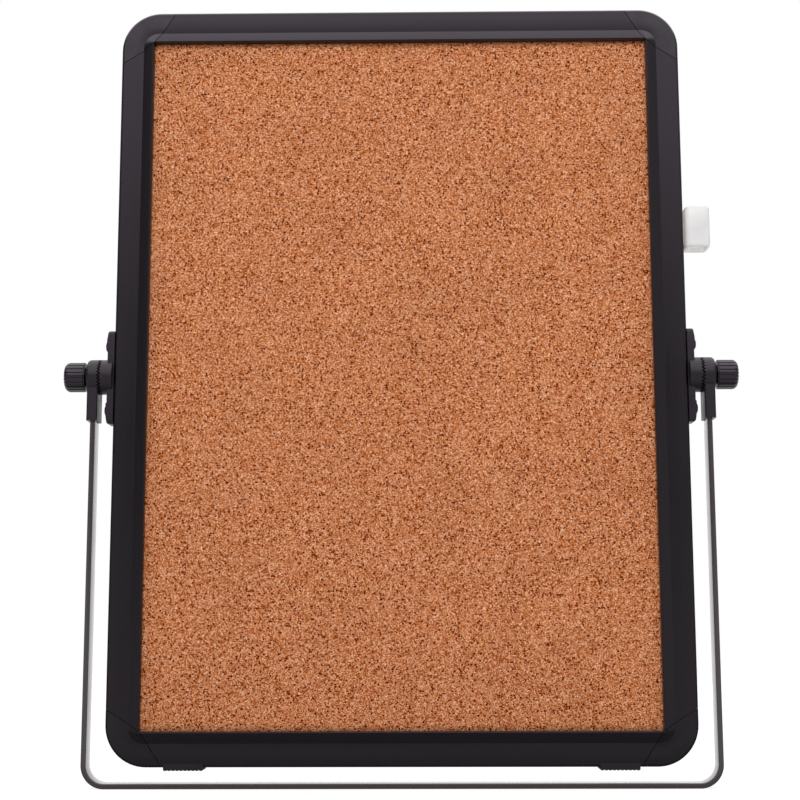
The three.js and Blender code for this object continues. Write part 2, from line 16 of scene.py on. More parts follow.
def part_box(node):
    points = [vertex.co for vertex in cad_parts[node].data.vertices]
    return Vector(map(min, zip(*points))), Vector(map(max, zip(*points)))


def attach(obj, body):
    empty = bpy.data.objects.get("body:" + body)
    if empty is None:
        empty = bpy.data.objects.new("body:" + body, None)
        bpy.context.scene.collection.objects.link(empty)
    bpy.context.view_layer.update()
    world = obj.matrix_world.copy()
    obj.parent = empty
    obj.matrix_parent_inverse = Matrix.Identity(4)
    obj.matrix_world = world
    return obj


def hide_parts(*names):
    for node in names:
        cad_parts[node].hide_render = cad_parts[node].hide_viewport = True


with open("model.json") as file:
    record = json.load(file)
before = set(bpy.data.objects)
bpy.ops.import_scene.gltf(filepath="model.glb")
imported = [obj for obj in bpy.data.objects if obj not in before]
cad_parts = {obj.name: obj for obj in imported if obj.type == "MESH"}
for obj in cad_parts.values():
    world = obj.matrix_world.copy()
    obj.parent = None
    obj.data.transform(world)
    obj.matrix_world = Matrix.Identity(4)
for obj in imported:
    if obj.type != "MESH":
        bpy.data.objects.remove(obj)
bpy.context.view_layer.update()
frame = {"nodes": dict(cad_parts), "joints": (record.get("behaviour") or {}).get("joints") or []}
MM = 0.001

# %% [markdown]
# A few tools come first, because every later cell uses them. Colours are written as the hex values that a
# paint chart would give, and one function turns them into the linear light that the renderer adds up.
# One function adds any node, with its settings and links, and works for materials and for geometry alike.

# %% Colours and nodes
MAP, MATH, MIX = "ShaderNodeMapRange", "ShaderNodeMath", "ShaderNodeMix"
SPLIT, JOIN = "ShaderNodeSeparateXYZ", "ShaderNodeCombineXYZ"
SOFT = {"interpolation_type": "SMOOTHSTEP"}


def linear(hex_colour):
    """The linear light of a colour written as an sRGB hex value, such as "c07d52"."""
    channels = [int(hex_colour[i:i + 2], 16) / 255 for i in (0, 2, 4)]
    light = [c / 12.92 if c <= 0.04045 else ((c + 0.055) / 1.055) ** 2.4 for c in channels]
    return (*light, 1.0)


def add(tree, kind, inputs=None, stops=(), **settings):
    """Adds a node. An input is a number, a colour, a socket, or a node, which gives its first live output.
    A colour ramp also has stops of (place, hex colour)."""
    node = tree.nodes.new(kind)
    for name, value in settings.items():
        setattr(node, name, value)
    for key, value in (inputs or {}).items():
        if isinstance(value, bpy.types.Node):
            value = next(socket for socket in value.outputs if socket.enabled)
        if isinstance(value, bpy.types.NodeSocket):
            tree.links.new(value, node.inputs[key])
        else:
            node.inputs[key].default_value = value
    for k, (place, colour) in enumerate(stops):
        elements = node.color_ramp.elements
        element = elements[k] if k < 2 else elements.new(place)
        element.position, element.color = place, linear(colour)
    return node


def span(value, low, high, from_low=0.3, from_high=0.7):
    """What a Map Range node needs to carry a value from one range to another."""
    return {"Value": value, "From Min": from_low, "From Max": from_high, "To Min": low, "To Max": high}


def start_finish(name):
    """A new material, its node tree, and the place on the object in metres."""
    material = bpy.data.materials.new(name)
    material.use_nodes = True
    tree = material.node_tree
    tree.nodes.clear()
    return material, tree, add(tree, "ShaderNodeTexCoord").outputs["Object"]


print("sRGB 808080 is", round(linear("808080")[0], 3), "of full light")

# %% [markdown]
# The camera is where the photograph was taken from: a little below the middle of the board, looking up by
# 8.6 degrees, so that the frame's sides draw together towards the top. Its place was fitted to the edges of
# the board and the stand, which gives real millimetres and a lens of 68.5 mm on a 36 mm sensor.

# %% Camera
CAMERA_PLACE = Vector((10.1, -790.4, 78.7)) * MM
LOOK_UP, LOOK_ASIDE, CAMERA_ROLL = math.radians(8.623), math.radians(-0.75), math.radians(-0.148)
SENSOR, LENS = 36, 68.48

camera_data = bpy.data.cameras.new("camera")
camera_data.sensor_width, camera_data.lens = SENSOR, LENS
camera_data.clip_start, camera_data.clip_end = 0.01, 50
camera = bpy.data.objects.new("camera", camera_data)
bpy.context.scene.collection.objects.link(camera)
level = Matrix.Rotation(-LOOK_ASIDE, 4, "Z") @ Matrix.Rotation(math.pi / 2 + LOOK_UP, 4, "X")
camera.matrix_world = Matrix.Translation(CAMERA_PLACE) @ level @ Matrix.Rotation(CAMERA_ROLL, 4, "Z")
bpy.context.scene.camera = camera
print("camera", round(camera.location.length / MM), "mm from the origin")

# %% [markdown]
# The light is a plain white studio. Matt surfaces are lit by a white world and three soft lamps. What gloss
# shows is drawn apart from that, because a black satin frame is only as bright as the room that it mirrors.
# It is white behind and overhead. In front, where the photographer stands, it is dark, with a faint glow low
# down and at either hand, and a broad softbox that begins about 16 degrees up. Black flags stand at both
# sides, the left one darker. The floor is white as well and keeps the shadow, but gloss sees a painted
# shadow on it, dark in the first centimetres in front of the board.

# %% World, lamps and floor
AMBIENT, WHITE = 0.6, (1, 1, 1, 1)
HORIZON, SOFTBOX, LEFT_GLOW, RIGHT_GLOW = 0.4, 1.7, 0.4, 0.25
LEFT_FLAG, RIGHT_FLAG, FLAG_HEIGHT = 0.18, 0.44, 0.35
FLOOR_GLOW, FLOOR_BOUNCE, PAINTED_FLOOR_SHADOW, FLOOR_FAR = 0.82, 0.3, 0.2, 0.56
BOARD_MIDDLE = 0.21


def make_world():
    world = bpy.data.worlds.new("white studio")
    bpy.context.scene.world = world
    world.use_nodes = True
    tree = world.node_tree
    tree.nodes.clear()
    way = add(tree, "ShaderNodeTexCoord").outputs["Generated"]
    right, back, up = add(tree, SPLIT, {"Vector": way}).outputs
    aside = add(tree, MATH, {0: right}, operation="ABSOLUTE")
    flagged = add(tree, MAP, span(aside, 0, 1, 0.4, 0.75), **SOFT)
    flags = add(tree, MAP, span(right, LEFT_FLAG, RIGHT_FLAG, -0.3, 0.3), **SOFT)
    left_glow = add(tree, MAP, span(right, LEFT_GLOW, 0, -0.42, -0.14), **SOFT)
    right_glow = add(tree, MAP, span(right, 0, RIGHT_GLOW, 0.05, 0.3), **SOFT)
    horizon = add(tree, MAP, span(up, HORIZON, 0, 0, 0.08), **SOFT)
    sides = add(tree, MATH, {0: left_glow, 1: right_glow})
    room = add(tree, MATH, {0: horizon, 1: sides})
    low = add(tree, MIX, {"Factor": flagged, "A": room, "B": flags})
    height = add(tree, MATH, {0: flagged, 1: -FLAG_HEIGHT, 2: up}, operation="MULTIPLY_ADD")
    overhead = add(tree, MAP, span(height, 0, 1, 0.24, 0.34), **SOFT)
    front = add(tree, MIX, {"Factor": overhead, "A": low, "B": SOFTBOX})
    behind = add(tree, MAP, span(back, 0, 1, 0.45, 0.8), **SOFT)
    mirrored = add(tree, MIX, {"Factor": behind, "A": front, "B": 1})
    rays = add(tree, "ShaderNodeLightPath").outputs
    clear = add(tree, MATH, {0: rays["Is Camera Ray"], 1: rays["Is Transmission Ray"]}, operation="MAXIMUM")
    glossy = add(tree, MIX, {"Factor": rays["Is Glossy Ray"], "A": AMBIENT, "B": mirrored})
    strength = add(tree, MIX, {"Factor": clear, "A": glossy, "B": 1})
    light = add(tree, "ShaderNodeBackground", {"Color": WHITE, "Strength": strength})
    add(tree, "ShaderNodeOutputWorld", {"Surface": light})


def lamp(name, place, aim, size, power):
    """A square soft lamp, in metres and watts, aimed at a height over the origin. Gloss doesn't see it."""
    data = bpy.data.lights.new(name, "AREA")
    data.size, data.energy = size, power
    light = bpy.data.objects.new(name, data)
    light.location = place
    light.rotation_euler = (Vector((0, 0, aim)) - Vector(place)).to_track_quat("-Z", "Y").to_euler()
    light.visible_glossy = False
    bpy.context.scene.collection.objects.link(light)


def make_floor():
    bpy.ops.mesh.primitive_circle_add(vertices=96, radius=6, fill_type="NGON")
    floor = bpy.context.object
    floor.name = "floor"
    material, tree, place = start_finish("white floor")
    rays = add(tree, "ShaderNodeLightPath").outputs
    clear = add(tree, MATH, {0: rays["Is Camera Ray"], 1: rays["Is Transmission Ray"]}, operation="MAXIMUM")
    # Painted shadow: what gloss sees of the floor is darkened in the first centimetres in front of the board,
    # and dimmer farther in front; the camera still sees it white.
    back = add(tree, SPLIT, {"Vector": place}).outputs["Y"]
    near = add(tree, MAP, span(back, PAINTED_FLOOR_SHADOW, 1, -0.02, 0.1), **SOFT)
    far = add(tree, MAP, span(back, FLOOR_FAR - PAINTED_FLOOR_SHADOW, 0, -0.16, -0.04), **SOFT)
    mirrored = add(tree, MATH, {0: near, 1: far})
    bounce = add(tree, "ShaderNodeBsdfDiffuse", {"Color": (0.8, 0.8, 0.8, 1)})
    thin = add(tree, "ShaderNodeBsdfDiffuse", {"Color": (FLOOR_BOUNCE, FLOOR_BOUNCE, FLOOR_BOUNCE, 1)})
    glow = add(tree, "ShaderNodeEmission", {"Color": WHITE, "Strength": FLOOR_GLOW})
    seen = add(tree, "ShaderNodeAddShader", {0: thin, 1: glow})
    gloss = add(tree, "ShaderNodeEmission", {"Color": WHITE, "Strength": mirrored})
    lit = add(tree, "ShaderNodeMixShader", {0: rays["Is Glossy Ray"], 1: bounce, 2: gloss})
    shader = add(tree, "ShaderNodeMixShader", {0: clear, 1: lit, 2: seen})
    add(tree, "ShaderNodeOutputMaterial", {"Surface": shader})
    floor.data.materials.append(material)


make_world()
lamp("top front softbox", (0.1, -1.5, 0.95), 0.3, 0.9, 11.5)
lamp("left fill", (-1.5, -0.9, 0.6), BOARD_MIDDLE, 0.8, 1.5)
lamp("back softbox", (0.5, 1.5, 1.1), BOARD_MIDDLE, 1.0, 9)
make_floor()
bpy.context.scene.view_settings.view_transform = "Standard"

# %% [markdown]
# Each finish starts from what the real surface is, and these helpers serve them all. Scales are worked out
# from real millimetres: a pattern with a cell of 0.9 mm repeats 1 / 0.0009 times in a metre. Most real
# surfaces are patchy, so the common finish lets its roughness wander over a fine relief.

# %% Parts of a finish
def noise(tree, place, size_mm, detail=2.0, stretch=(1, 1, 1)):
    """Noise with features of about size_mm, drawn out by stretch along each axis."""
    scaled = add(tree, "ShaderNodeMapping", {"Vector": place, "Scale": [1 / s for s in stretch]})
    return add(tree, "ShaderNodeTexNoise", {"Vector": scaled, "Scale": 1 / (size_mm * MM), "Detail": detail})


def end_finish(tree, height, depth_mm, strength, inputs):
    """A principled shader over a relief of depth_mm, whose height runs from 0 to 1."""
    relief = add(tree, "ShaderNodeBump", {"Height": height, "Distance": depth_mm * MM, "Strength": strength})
    shader = add(tree, "ShaderNodeBsdfPrincipled", {"IOR": 1.5, **inputs, "Normal": relief})
    add(tree, "ShaderNodeOutputMaterial", {"Surface": shader})


def patchy(name, colour, rough, patches, relief, more=None):
    """A finish whose roughness runs between two values in patches of (mm, detail). The relief is given as
    (mm, detail, depth in mm, strength)."""
    material, tree, place = start_finish(name)
    wander = add(tree, MAP, span(noise(tree, place, *patches), *rough))
    inputs = {"Base Color": linear(colour), "Roughness": wander, **(more or {})}
    end_finish(tree, noise(tree, place, *relief[:2]), *relief[2:], inputs)
    return material


print("a cell of 0.9 mm repeats", round(1 / (0.9 * MM)), "times in a metre")

# %% [markdown]
# Agglomerated cork is ground bark, pressed with glue. Its granules are 0.5 to 1 mm, each with a brown of its
# own, and a few are dark flecks of outer bark. A Voronoi pattern draws the granules: each cell has a random
# colour number, which a ramp turns into one of the cork's browns. A finer cell breaks them up, a few dark
# cells are the flecks, and a slow noise keeps the sheet from looking printed. Along the top and bottom rails
# the last 3 mm of cork are darkened by a painted shade, standing in for the shade of the frame's lip. Cork is
# matt, with next to no gloss.

# %% Cork
FACE = 17.8
BOARD_LOW = Vector((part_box("rail_left")[0].x, 0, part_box("rail_bottom")[0].z)) / MM
BOARD_HIGH = Vector((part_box("rail_right")[1].x, 0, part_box("rail_top")[1].z)) / MM
CORK_MIDDLE = (BOARD_HIGH.z + BOARD_LOW.z) / 2
CORK_SHOWN = (BOARD_HIGH.z - BOARD_LOW.z) / 2 - FACE
# The last value is the reach, in mm, of the painted shade at the cork's top and bottom.
GRANULE, CHIP, FLECK, DRIFT, SHADE_REACH = 0.6, 0.44, 1.1, 34, 3.2
BROWNS = [(0.05, "520600"), (0.28, "9c4600"), (0.5, "c57e50"), (0.72, "d69672"), (0.95, "efc9aa")]
DARK_BARK = "5c1400"


def make_cork():
    material, tree, place = start_finish("agglomerated cork")
    granules, chips, flecks = (add(tree, "ShaderNodeTexVoronoi", {"Vector": place, "Scale": 1 / (size * MM)})
                               for size in (GRANULE, CHIP, FLECK))
    tone, chip, fleck = (add(tree, "ShaderNodeSeparateColor", {0: cells.outputs["Color"]}).outputs[channel]
                         for channel, cells in enumerate((granules, chips, flecks)))
    mixed = add(tree, MIX, {"Factor": 0.5, "A": tone, "B": chip})
    body = add(tree, "ShaderNodeValToRGB", {"Fac": mixed}, BROWNS)
    drift = add(tree, MAP, span(noise(tree, place, DRIFT, 3), 0.95, 1.06))
    tinted = add(tree, MIX, {0: 1.0, 6: body, 7: drift}, data_type="RGBA", blend_type="MULTIPLY")
    core = add(tree, MAP, span(flecks.outputs["Distance"], 1, 0, 0.42, 0.56))
    rare = add(tree, MAP, span(fleck, 0, 1, 0.84, 0.88))
    dark = add(tree, MATH, {0: core, 1: rare}, operation="MULTIPLY")
    colour = add(tree, MIX, {0: dark, 6: tinted, 7: linear(DARK_BARK)}, data_type="RGBA")
    # Painted shade: the colour is darkened over the last 3.2 mm of cork at top and bottom, beside the frame's
    # lip.
    lifted = add(tree, SPLIT, {"Vector": place}).outputs["Z"]
    above = add(tree, MATH, {0: lifted, 1: CORK_MIDDLE * MM}, operation="SUBTRACT")
    reach = add(tree, MATH, {0: above}, operation="ABSOLUTE")
    painted_shade = add(tree, MAP, span(reach, 1, 0.62, (CORK_SHOWN - SHADE_REACH) * MM, CORK_SHOWN * MM))
    shaded_cork_colour = add(tree, MIX, {0: 1.0, 6: colour, 7: painted_shade}, data_type="RGBA", blend_type="MULTIPLY")
    hollow = add(tree, MATH, {0: granules.outputs["Distance"], 1: dark})
    sunk = add(tree, MATH, {0: 1.0, 1: hollow}, operation="SUBTRACT")
    end_finish(tree, sunk, 0.14, 0.7, {"Base Color": shaded_cork_colour, "Roughness": 0.9, "Specular IOR Level": 0.02})
    return material


cork = make_cork()
print("made", cork.name)

# %% [markdown]
# The black pieces differ in how they were made, and that shows in their gloss. The rails are extruded
# aluminium with a satin black coat, with faint lines along their length. The corner caps are moulded ABS,
# a shade smoother. The hubs and brackets have a fine spark-eroded texture. All of them are nearly black,
# and what the eye sees is the room that they reflect, with the faint violet of carbon black in their gloss.

# %% Black finishes
BLACK_GLOSS = (1.0, 0.86, 1.0, 1.0)


def make_coated_aluminium(name, along):
    """Satin black coat on an extrusion. The die lines run along one axis."""
    material, tree, place = start_finish(name)
    lines = noise(tree, place, 0.5, 2.0, [160 if axis == along else 1 for axis in "xyz"])
    mixed = add(tree, MIX, {"Factor": 0.5, "A": lines, "B": noise(tree, place, 45, 3.0)})
    satin = add(tree, MAP, span(mixed, 0.25, 0.35))
    inputs = {"Base Color": linear("0d0b0e"), "Roughness": satin, "Specular Tint": BLACK_GLOSS}
    end_finish(tree, lines, 0.004, 0.5, inputs)
    return material


def make_moulded(name, colour, roughness, grain_mm, depth_mm, tint=BLACK_GLOSS, gloss=0.5):
    """Moulded plastic with a fine grain from the mould, and gloss that wanders a little."""
    return patchy(name, colour, (roughness - 0.05, roughness + 0.06), (9, 2), (grain_mm, 3, depth_mm, 0.6),
                  {"Specular Tint": tint, "Specular IOR Level": gloss})


rail_across = make_coated_aluminium("satin black aluminium, lines across", "x")
rail_upright = make_coated_aluminium("satin black aluminium, lines upright", "z")
cap_plastic = make_moulded("moulded black ABS", "030303", 0.26, 0.35, 0.006, gloss=0.58)
hub_plastic = make_moulded("textured black ABS", "151317", 0.4, 0.22, 0.02)
knob_plastic = make_moulded("black knob ABS", "17151a", 0.28, 0.25, 0.008, gloss=0.6)
# Rubber is matt, and its gloss has no tint.
rubber = make_moulded("black rubber", "151415", 0.75, 0.3, 0.02, WHITE)
# The strip has baked black enamel on rolled steel: a clear gloss over satin, with an orange peel of 1.5 mm.
strip_paint = patchy("satin black painted steel", "3a3433", (0.25, 0.35), (14, 2), (1.5, 2, 0.012, 0.5),
                     {"Coat Weight": 1.0, "Coat Roughness": 0.12})
print("made", len(bpy.data.materials), "materials so far")

# %% [markdown]
# The rest are small: the white enamelled steel of the writing side, zinc plate on the stud and nut, black
# oxide on the screws and washers, milky polypropylene for the pen loop, and the raw core and tape.

# %% Light finishes and metals
def make_fibreboard():
    """Pressed wood fibre, drawn out along the sheet, with the lighter fibres on top."""
    material, tree, place = start_finish("raw fibreboard")
    fibres = noise(tree, place, 0.6, 4.0, (3, 1, 1))
    colour = add(tree, "ShaderNodeValToRGB", {"Fac": fibres}, [(0.3, "a08258"), (0.7, "c9ae88")])
    end_finish(tree, fibres, 0.05, 1.0, {"Base Color": colour, "Roughness": 0.85})
    return material


fibreboard = make_fibreboard()
# Enamel is poured and fired: a clear gloss with slow waves in it.
enamel = patchy("white enamelled steel", "f1f1ef", (0.12, 0.24), (30, 4), (2.5, 2, 0.01, 0.4))
# Both platings leave fine crystals, which break the reflection up.
PLATED = {"patches": (1.2, 3), "relief": (0.3, 2, 0.004, 0.5), "more": {"Metallic": 1.0}}
zinc = patchy("zinc plated steel", "b4b5b9", (0.24, 0.42), **PLATED)
black_oxide = patchy("black oxide steel", "2b2a2c", (0.3, 0.48), **PLATED)
# Light goes several millimetres into polypropylene, so its edges glow and its shadows are soft.
polypropylene = patchy("milky polypropylene", "fff4f3", (0.3, 0.4), (4, 2), (0.5, 2, 0.005, 0.5),
                       {"IOR": 1.49, "Subsurface Weight": 1.0, "Subsurface Radius": (1.0, 0.97, 0.93),
                        "Subsurface Scale": 9 * MM})
# Foam is matt, with pores of about half a millimetre.
foam_tape = make_moulded("white foam tape", "dedad2", 0.8, 0.4, 0.05, WHITE)
print("made", len(bpy.data.materials), "materials")

# %% [markdown]
# Pieces are built from a few kinds of mesh: a prism drawn by its outline, a shape turned about an axis, and
# rings of points joined by a skin. Each ends as a plain mesh at the origin, with its place in its vertices,
# and a live bevel softens the edges that are too small to draw.

# %% Mesh tools
def skin(name, rings, closed_ends=True):
    """Joins rings of equal counts, in millimetres, into a closed mesh in metres whose faces point out."""
    count = len(rings[0])
    points = [tuple(Vector(p) * MM) for ring in rings for p in ring]
    faces = []
    for start in range(0, len(points) - count, count):
        for k in range(count):
            a, b = start + k, start + (k + 1) % count
            faces.append((a, b, b + count, a + count))
    if closed_ends:
        faces.append(tuple(range(count)))
        faces.append(tuple(reversed(range(len(points) - count, len(points)))))
    mesh = bpy.data.meshes.new(name)
    mesh.from_pydata(points, [], faces)
    work = bmesh.new()
    work.from_mesh(mesh)
    bmesh.ops.remove_doubles(work, verts=work.verts, dist=0.002 * MM)
    bmesh.ops.recalc_face_normals(work, faces=work.faces)
    work.to_mesh(mesh)
    work.free()
    return mesh


ALONG = {"x": lambda a, b, c: (c, a, b), "y": lambda a, b, c: (a, c, b), "z": lambda a, b, c: (a, b, c)}


def prism(name, outline, axis, low, high):
    """An outline in the plane across an axis, made solid from low to high along it."""
    return skin(name, [[ALONG[axis](a, b, end) for a, b in outline] for end in (low, high)])


def turned(name, profile, segments=96):
    """A closed profile of (x, radius) points turned about the X axis."""
    angles = [math.tau * k / segments for k in range(segments + 1)]
    rings = [[(x, r * math.cos(angle), r * math.sin(angle)) for x, r in profile] for angle in angles]
    return skin(name, rings, closed_ends=False)


def arc(a, b, radius, start, end, steps=8):
    """Points on an arc about (a, b). Its start and end are in quarter turns."""
    angles = [math.pi / 2 * (start + (end - start) * k / steps) for k in range(steps + 1)]
    return [(a + radius * math.cos(angle), b + radius * math.sin(angle)) for angle in angles]


def rounded_box(half_a, half_b, radius, steps=6):
    """The outline of a rectangle with round corners, centred on zero."""
    outline = []
    for quarter, (a, b) in enumerate([(1, 1), (-1, 1), (-1, -1), (1, -1)]):
        centre = a * (half_a - radius), b * (half_b - radius)
        outline += arc(*centre, radius, quarter, quarter + 1, steps)
    return outline


def rectangle(half_a, half_b):
    return [(-half_a, -half_b), (half_a, -half_b), (half_a, half_b), (-half_a, half_b)]


def shifted(outline, a, b=0):
    return [(x + a, y + b) for x, y in outline]


def put(name, mesh):
    """A scene object for a mesh."""
    piece = bpy.data.objects.new(name, mesh)
    bpy.context.scene.collection.objects.link(piece)
    return piece


def evaluated_mesh(piece):
    """The piece's mesh with its modifiers applied. The piece is removed."""
    graph = bpy.context.evaluated_depsgraph_get()
    mesh = bpy.data.meshes.new_from_object(piece.evaluated_get(graph), depsgraph=graph)
    mesh.name = piece.name
    bpy.data.objects.remove(piece)
    return mesh


def combined(mesh, tool, operation):
    """A boolean of two closed meshes: UNION, DIFFERENCE or INTERSECT."""
    base, other = put(mesh.name, mesh), put("tool", tool)
    step = base.modifiers.new("boolean", "BOOLEAN")
    step.operation, step.solver, step.object = operation, "EXACT", other
    result = evaluated_mesh(base)
    bpy.data.objects.remove(other)
    return result


def settle(piece, material, body, nodes, soft_edge=0.0, sharp=30):
    """Gives a piece its material, soft edges and body, and hides the solids that it stands for."""
    piece.data.materials.clear()
    piece.data.materials.append(material)
    piece.data.shade_smooth()
    if soft_edge:
        edge = piece.modifiers.new("soft edges", "BEVEL")
        edge.width, edge.segments = soft_edge * MM, 2
        edge.limit_method, edge.angle_limit = "ANGLE", math.radians(sharp)
        edge.harden_normals = True
    else:
        piece.data.set_sharp_from_angle(angle=math.radians(sharp))
    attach(piece, body)
    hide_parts(*nodes)
    return piece


print("outline of a rounded box has", len(rounded_box(5, 3, 1)), "points")

# %% [markdown]
# The frame's section is the heart of its look: a side with chamfered edges, an outer band that is crowned by
# a sixth of a millimetre so that its reflection never looks dead flat, then a slope that climbs to a rounded
# ridge beside the cork. The ridge stands 2.7 mm proud of the band, and from it a leg runs back to the cork.
# The section is drawn once, as inset from the outer edge and y from the front, and serves rails and caps
# alike, so the two always meet. Rails are hollow under the slope, and the moulded caps are solid there.

# %% Frame section
EDGE_ROUND, FLAT, LIP_RISE, NOSE = 2.0, 11.8, 2.7, 0.6
GROOVE_FLOOR, WALL, LEG, CROWN = 9.1, 1.2, 1.4, 0.16
DEPTH = (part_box("rail_top")[1].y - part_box("rail_top")[0].y) / MM - 2 * LIP_RISE
# The edge is a chamfer, rounded where it meets the side and the face: each bend runs past its corner.
EDGE_BENDS = [((0, 1.5), (0, 1.2), (0.2, 1.0)), ((0.84, 0.36), (1.04, CROWN), (1.34, CROWN))]


def frame_section(hollow_lip):
    """The closed section as (inset, y) points in millimetres: front face, groove, back face and side."""
    front = [(0, EDGE_ROUND)]
    for start, corner, end in EDGE_BENDS:
        for share in (0, 0.25, 0.5, 0.75, 1):
            front.append(tuple((1 - share) ** 2 * a + 2 * share * (1 - share) * b + share ** 2 * c
                               for a, b, c in zip(start, corner, end)))
    middle, half = (EDGE_ROUND + FLAT) / 2, (FLAT - EDGE_ROUND) / 2
    front += [(middle + half * k / 4, CROWN * (k / 4) ** 2) for k in range(-4, 5)]
    slope = math.atan2(LIP_RISE, FACE - NOSE - FLAT) / (math.pi / 2)
    front += arc(FACE - NOSE, NOSE - LIP_RISE, NOSE, -1 - slope, 0, 5)
    front.append((FACE, WALL))
    if hollow_lip:
        front += [(FACE - LEG, WALL), (FACE - LEG, WALL + NOSE - LIP_RISE), (FLAT, WALL)]
    front.append((GROOVE_FLOOR, WALL))
    back = [(inset, DEPTH - depth) for inset, depth in reversed(front)]
    return [(inset, depth - DEPTH / 2) for inset, depth in front + back]


rail_section, cap_section = frame_section(True), frame_section(False)
print("section has", len(rail_section), "points; the board is", BOARD_HIGH - BOARD_LOW)

# %% [markdown]
# A rail is that section drawn along a straight line. Its ends are cut on the slant where the corner caps
# begin, and the slant needs no cutting tool: each point of the end ring is simply set back by as much as its
# inset asks for. A soft edge of 0.15 mm then catches the light along every seam.

# %% Rails
CAP_REACH, SEAM_GAP, SEAM_EDGE, SEAM_SHARP = 29.0, 0.3, 0.15, 20


def seam(inset):
    """How far from the corner the seam lies at this inset."""
    return CAP_REACH - (CAP_REACH - FACE) * inset / FACE


def make_rail(place, edge, inward, along, material):
    """Edge is a point on the rail's outer edge, inward and along are unit directions."""
    length, middle = along.dot(BOARD_HIGH - BOARD_LOW), along.dot(BOARD_LOW + BOARD_HIGH) / 2
    rings = []
    for end in (-1, 1):
        reaches = [middle + end * (length / 2 - seam(inset) - SEAM_GAP / 2) for inset, _ in rail_section]
        rings.append([edge + inward * inset + along * reach + Vector((0, y, 0))
                      for (inset, y), reach in zip(rail_section, reaches)])
    rail = put(f"{place}_rail", skin(place, rings))
    settle(rail, material, "board", [f"rail_{place}"], SEAM_EDGE, SEAM_SHARP)


right, up = Vector((1, 0, 0)), Vector((0, 0, 1))
make_rail("bottom", up * BOARD_LOW.z, up, right, rail_across)
make_rail("top", up * BOARD_HIGH.z, -up, right, rail_across)
make_rail("left", right * BOARD_LOW.x, right, up, rail_upright)
make_rail("right", right * BOARD_HIGH.x, -right, up, rail_upright)
print("four rails, with", len(rail_section), "points in each end")

# %% [markdown]
# A corner cap carries the same section round the bend. Seen from the front each point of the section runs
# straight, round an arc and straight again, but the arcs differ: 21 mm at the outer edge, 8 mm where the
# slope begins, and next to none at the ridge, because the cork's corner is square. That is what draws the
# small fan in each corner of the photograph. The groove inside is square too, for the corner of the panel.

# %% Corner caps
CORNER, INNER_ARC, RIDGE_ARC, ARC_STEPS = 21.0, 8.0, 0.9, 16


def arc_radius(inset, inside):
    """The bend's radius at this inset: shrinking to the inner arc over the flat, then to the ridge's."""
    if inside:
        return 0.0
    if inset <= EDGE_ROUND:
        return CORNER - inset
    if inset <= FLAT:
        share = (inset - EDGE_ROUND) / (FLAT - EDGE_ROUND)
        return (CORNER - EDGE_ROUND) * (1 - share) + INNER_ARC * share
    share = min(1.0, (inset - FLAT) / (FACE - NOSE - FLAT))
    return INNER_ARC * (1 - share) + RIDGE_ARC * share - max(0.0, inset - FACE + NOSE)


def cap_path(inset, inside):
    """The run of one section point round the corner, as (along x, along z) from the outer corner."""
    radius = min(arc_radius(inset, inside), seam(inset) - inset)
    centre = inset + radius
    reach = max(seam(inset) - SEAM_GAP / 2, centre)
    return [(reach, inset)] + arc(centre, centre, radius, -1, -2, ARC_STEPS) + [(inset, reach)]


def make_cap(level, side):
    """The cap at the bottom or top level, on the left or right side."""
    name = f"{level}_{side}"
    corner_x, turn_x = (BOARD_LOW.x, 1) if side == "left" else (BOARD_HIGH.x, -1)
    corner_z, turn_z = (BOARD_LOW.z, 1) if level == "bottom" else (BOARD_HIGH.z, -1)
    groove = DEPTH / 2 - WALL / 2
    paths = [cap_path(inset, inset >= GROOVE_FLOOR and abs(y) < groove) for inset, y in cap_section]
    rings = [[(corner_x + turn_x * x, y, corner_z + turn_z * z) for (x, z), (_, y) in zip(ring, cap_section)]
             for ring in zip(*paths)]
    cap = put(f"{name}_cap", skin(name, rings))
    settle(cap, cap_plastic, "board", [f"corner_cap_{name}"], SEAM_EDGE, SEAM_SHARP)


for level in ("bottom", "top"):
    for side in ("left", "right"):
        make_cap(level, side)
print("four caps, each of", len(cap_section), "x", ARC_STEPS + 3, "points")

# %% [markdown]
# The cork sheet is a thin block whose face isn't quite flat: pressed granules leave hollows of about a tenth
# of a millimetre. Geometry Nodes suit it, because the rule is short: make a divided block, and move each
# point of the front by a noise. The size, the pitch and the depth of the hollows are named inputs.

# %% Node groups as tools
def new_group(name, inputs):
    """A geometry node group with named inputs of (name, kind, default). Returns the tree and its inputs."""
    tree = bpy.data.node_groups.new(name, "GeometryNodeTree")
    for label, kind, default in inputs:
        item = tree.interface.new_socket(label, in_out="INPUT", socket_type=f"NodeSocket{kind}")
        if default is not None:
            item.default_value = default
    tree.interface.new_socket("Geometry", in_out="OUTPUT", socket_type="NodeSocketGeometry")
    return tree, tree.nodes.new("NodeGroupInput").outputs


def grown(name, tree, values, source=None):
    """The plain mesh that a node group makes. Values are given by the inputs' names."""
    host = source or put(name, bpy.data.meshes.new(name))
    step = host.modifiers.new("nodes", "NODES")
    step.node_group = tree
    for item in tree.interface.items_tree:
        if item.in_out == "INPUT" and item.name in values:
            step[item.identifier] = values[item.name]
    return evaluated_mesh(host)


def end_group(tree, geometry, material):
    """Every group ends in plain geometry that carries its material."""
    real = add(tree, "GeometryNodeRealizeInstances", {0: geometry})
    dressed = add(tree, "GeometryNodeSetMaterial", {"Geometry": real, "Material": material})
    add(tree, "NodeGroupOutput", {0: dressed})


